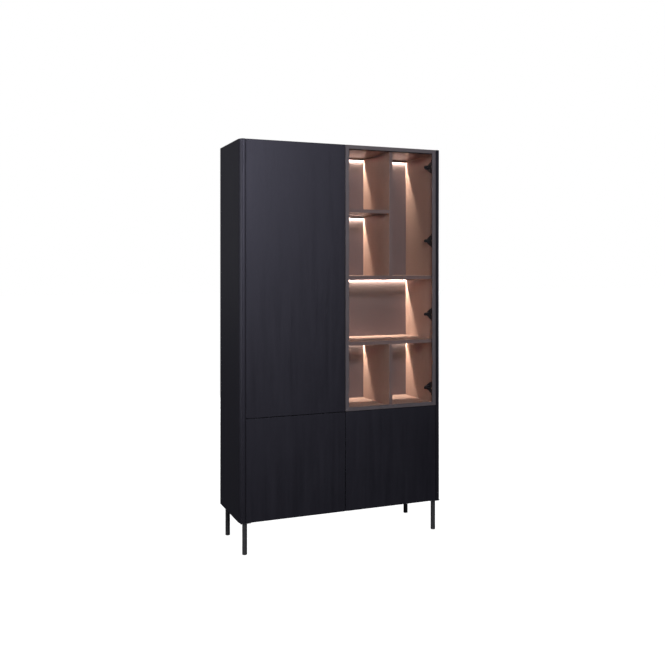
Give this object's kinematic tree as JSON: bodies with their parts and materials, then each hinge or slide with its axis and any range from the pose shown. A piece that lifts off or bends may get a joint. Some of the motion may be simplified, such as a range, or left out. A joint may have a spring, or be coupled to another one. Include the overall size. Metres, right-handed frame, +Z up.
{
  "type": "display cabinet",
  "caption": "Tall free-standing display cabinet on slim round legs, with flush push-to-open doors, a framed glass door and lit niches behind it.",
  "frame": {"origin": "on the floor, under the middle of the cabinet", "axes": "+Z up, -Y towards the viewer who faces the doors, +X to that viewer's right"},
  "size_m": [1.15, 0.39, 2.1],
  "materials": {
    "black_veneer": "black stained oak veneer, matt lacquer, vertical grain",
    "black_veneer_door": "black stained oak veneer, matt lacquer, vertical grain",
    "dark_carcass": "dark melamine, fine grain",
    "taupe_lining": "taupe lacquered board, satin",
    "dark_back": "dark hardboard, matt",
    "frame_aluminium": "anthracite anodised, brushed",
    "smoked_glass": "lightly smoked float glass",
    "gasket_rubber": "black glazing seal",
    "led_aluminium": "black anodised",
    "led_tape": "flexible light tape, warm white",
    "driver_plastic": "white plastic box",
    "dark_plastic": "black moulded plastic",
    "leg_steel": "dark grey powder coat",
    "hinge_black": "black burnished steel",
    "zinc_steel": "zinc plated"
  },
  "bodies": {
    "cabinet": {"anti_tip_brackets": "zinc_steel", "back_panel": "dark_back", "bottom_panel": "black_veneer", "cable_grommet": "dark_plastic", "centre_partition": "dark_carcass", "fixed_shelf_left": "dark_carcass", "hinge_arms": "hinge_black", "hinge_plates": "hinge_black", "latch_bodies": "dark_plastic", "led_driver": "driver_plastic", "led_profile_lower_left": "led_aluminium", "led_profile_lower_right": "led_aluminium", "led_profile_middle_left": "led_aluminium", "led_profile_tall_right": "led_aluminium", "led_profile_upper_left": "led_aluminium", "led_profile_wide": "led_aluminium", "led_tapes": "led_tape", "leg_front_left": "leg_steel", "leg_front_right": "leg_steel", "leg_glides": "dark_plastic", "leg_plates": "leg_steel", "leg_rear_left": "leg_steel", "leg_rear_right": "leg_steel", "lower_shelf_left": "dark_carcass", "lower_shelf_right": "dark_carcass", "niche_divider_lower": "taupe_lining", "niche_divider_upper": "taupe_lining", "niche_floor": "taupe_lining", "niche_lining": "taupe_lining", "niche_shelf_lower": "taupe_lining", "niche_shelf_middle": "taupe_lining", "niche_shelf_upper": "taupe_lining", "shelf_pins": "zinc_steel", "side_panel_left": "black_veneer", "side_panel_right": "black_veneer", "tall_shelf_1": "dark_carcass", "tall_shelf_2": "dark_carcass", "tall_shelf_3": "dark_carcass", "top_panel": "black_veneer"},
    "glass_door": {"glass_door_hinge_cups": "hinge_black", "glass_door_rail_bottom": "frame_aluminium", "glass_door_rail_top": "frame_aluminium", "glass_door_stile_left": "frame_aluminium", "glass_door_stile_right": "frame_aluminium", "glass_gasket": "gasket_rubber", "glass_pane": "smoked_glass"},
    "glass_door_links": {"glass_door_hinge_links": "hinge_black"},
    "glass_door_plunger": {"glass_door_plunger": "dark_plastic"},
    "lower_door_left": {"lower_door_left": "black_veneer_door", "lower_door_left_hinge_cups": "hinge_black"},
    "lower_door_left_links": {"lower_door_left_hinge_links": "hinge_black"},
    "lower_door_left_plunger": {"lower_door_left_plunger": "dark_plastic"},
    "lower_door_right": {"lower_door_right": "black_veneer_door", "lower_door_right_hinge_cups": "hinge_black"},
    "lower_door_right_links": {"lower_door_right_hinge_links": "hinge_black"},
    "lower_door_right_plunger": {"lower_door_right_plunger": "dark_plastic"},
    "tall_door": {"tall_door": "black_veneer_door", "tall_door_hinge_cups": "hinge_black"},
    "tall_door_links": {"tall_door_hinge_links": "hinge_black"},
    "tall_door_plunger": {"tall_door_plunger": "dark_plastic"}
  },
  "joints": [
    {"name": "tall_door_links_turn", "type": "hinge", "parent": "cabinet", "child": "tall_door_links", "pos_m": [-0.502, -0.141, 1.395], "axis": [0, 0, 1], "range_deg": [0, 32]},
    {"name": "tall_door_swing", "type": "hinge", "parent": "tall_door_links", "child": "tall_door", "pos_m": [-0.531, -0.177, 1.395], "axis": [0, 0, -1], "range_deg": [0, 126.67]},
    {"name": "glass_door_links_turn", "type": "hinge", "parent": "cabinet", "child": "glass_door_links", "pos_m": [0.502, -0.141, 1.395], "axis": [0, 0, -1], "range_deg": [0, 32]},
    {"name": "glass_door_swing", "type": "hinge", "parent": "glass_door_links", "child": "glass_door", "pos_m": [0.531, -0.177, 1.395], "axis": [0, 0, 1], "range_deg": [0, 126.67]},
    {"name": "lower_door_left_links_turn", "type": "hinge", "parent": "cabinet", "child": "lower_door_left_links", "pos_m": [-0.502, -0.141, 0.4275], "axis": [0, 0, 1], "range_deg": [0, 32]},
    {"name": "lower_door_left_swing", "type": "hinge", "parent": "lower_door_left_links", "child": "lower_door_left", "pos_m": [-0.531, -0.177, 0.4275], "axis": [0, 0, -1], "range_deg": [0, 126.67]},
    {"name": "lower_door_right_links_turn", "type": "hinge", "parent": "cabinet", "child": "lower_door_right_links", "pos_m": [0.502, -0.141, 0.4275], "axis": [0, 0, -1], "range_deg": [0, 32]},
    {"name": "lower_door_right_swing", "type": "hinge", "parent": "lower_door_right_links", "child": "lower_door_right", "pos_m": [0.531, -0.177, 0.4275], "axis": [0, 0, 1], "range_deg": [0, 126.67]},
    {"name": "glass_door_plunger_press", "type": "slide", "parent": "cabinet", "child": "glass_door_plunger", "axis": [0, 1, 0], "range_m": [0, 0.003], "stiffness_N_per_m": 400},
    {"name": "lower_door_left_plunger_press", "type": "slide", "parent": "cabinet", "child": "lower_door_left_plunger", "axis": [0, 1, 0], "range_m": [0, 0.003], "stiffness_N_per_m": 400},
    {"name": "lower_door_right_plunger_press", "type": "slide", "parent": "cabinet", "child": "lower_door_right_plunger", "axis": [0, 1, 0], "range_m": [0, 0.003], "stiffness_N_per_m": 400},
    {"name": "tall_door_plunger_press", "type": "slide", "parent": "cabinet", "child": "tall_door_plunger", "axis": [0, 1, 0], "range_m": [0, 0.003], "stiffness_N_per_m": 400}
  ],
  "couplings": [
    {"joint": "tall_door_links_turn", "follows": "tall_door_swing", "ratio": 0.25},
    {"joint": "glass_door_links_turn", "follows": "glass_door_swing", "ratio": 0.25},
    {"joint": "lower_door_left_links_turn", "follows": "lower_door_left_swing", "ratio": 0.25},
    {"joint": "lower_door_right_links_turn", "follows": "lower_door_right_swing", "ratio": 0.25}
  ]
}
